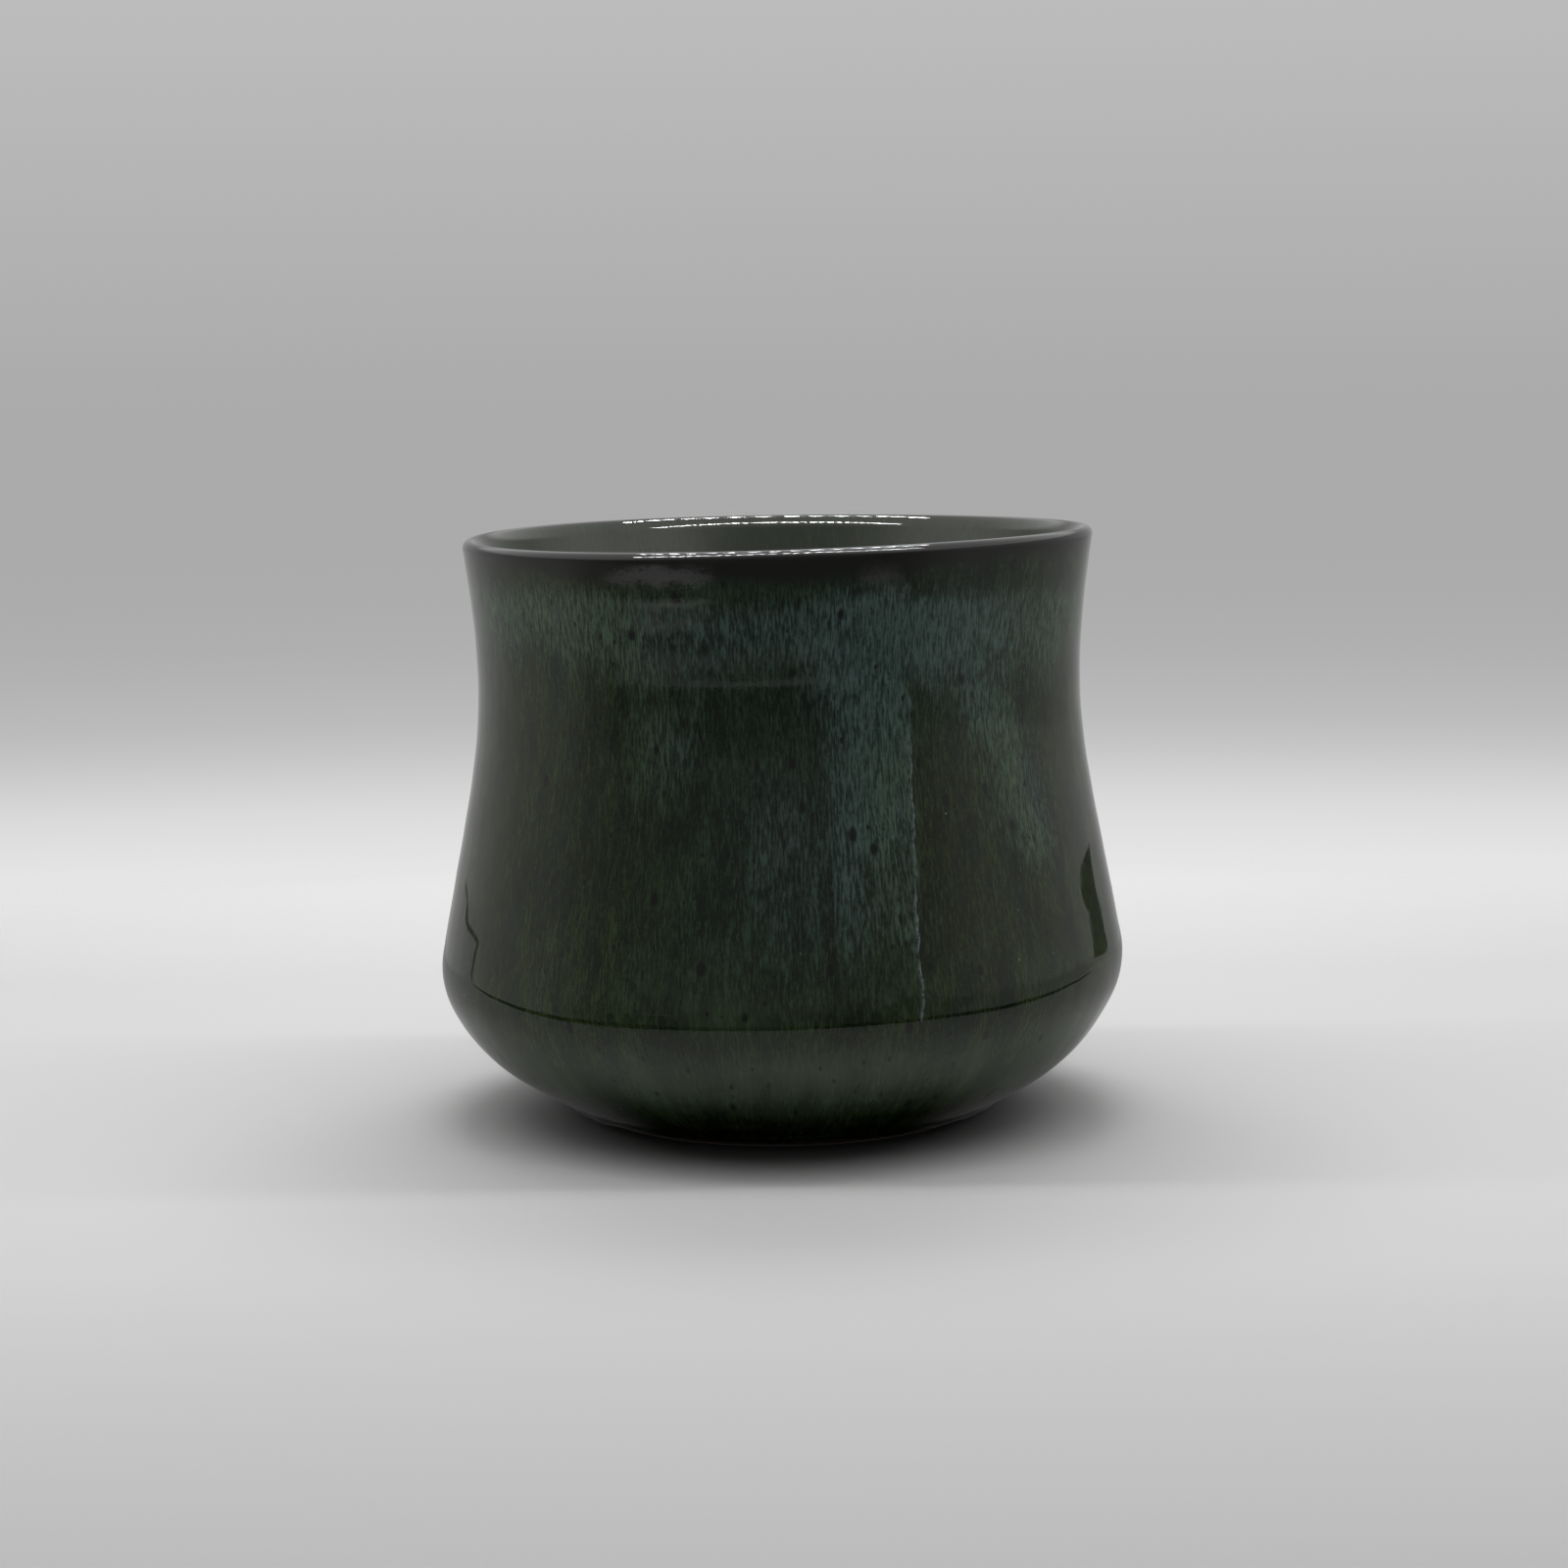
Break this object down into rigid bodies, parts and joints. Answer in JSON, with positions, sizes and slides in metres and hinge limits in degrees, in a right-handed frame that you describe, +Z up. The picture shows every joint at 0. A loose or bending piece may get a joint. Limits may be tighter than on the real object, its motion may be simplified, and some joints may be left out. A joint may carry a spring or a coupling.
{
  "type": "cup",
  "caption": "Handle-less thrown stoneware cup with a round low belly, drawn-in waist, flared rim, trimmed foot ring and dark green glaze, for hot or cold drinks.",
  "frame": {"origin": "middle of the foot ring, on the surface that the cup stands on", "axes": "+Z up along the cup's axis, the pictured front faces -Y, +X to its right"},
  "size_m": [0.096, 0.096, 0.0817],
  "materials": {
    "stoneware": "bare fired iron-bearing stoneware, dark brown, matte and fine-grained",
    "green_glaze": "glossy dark green glaze with fine vertical runs and iron specks",
    "inner_glaze": "glossy grey-green liner glaze, lighter than the outside",
    "lip_glaze": "thin glossy glaze that breaks to brown-black over the edge",
    "overlap_glaze": "glossy doubled glaze, blue-grey, with a pale raised edge"
  },
  "bodies": {
    "root": {"stoneware_body": "stoneware", "outer_glaze": "green_glaze", "liner_glaze": "inner_glaze", "lip_glaze": "lip_glaze", "pour_overlap": "overlap_glaze"}
  },
  "joints": []
}
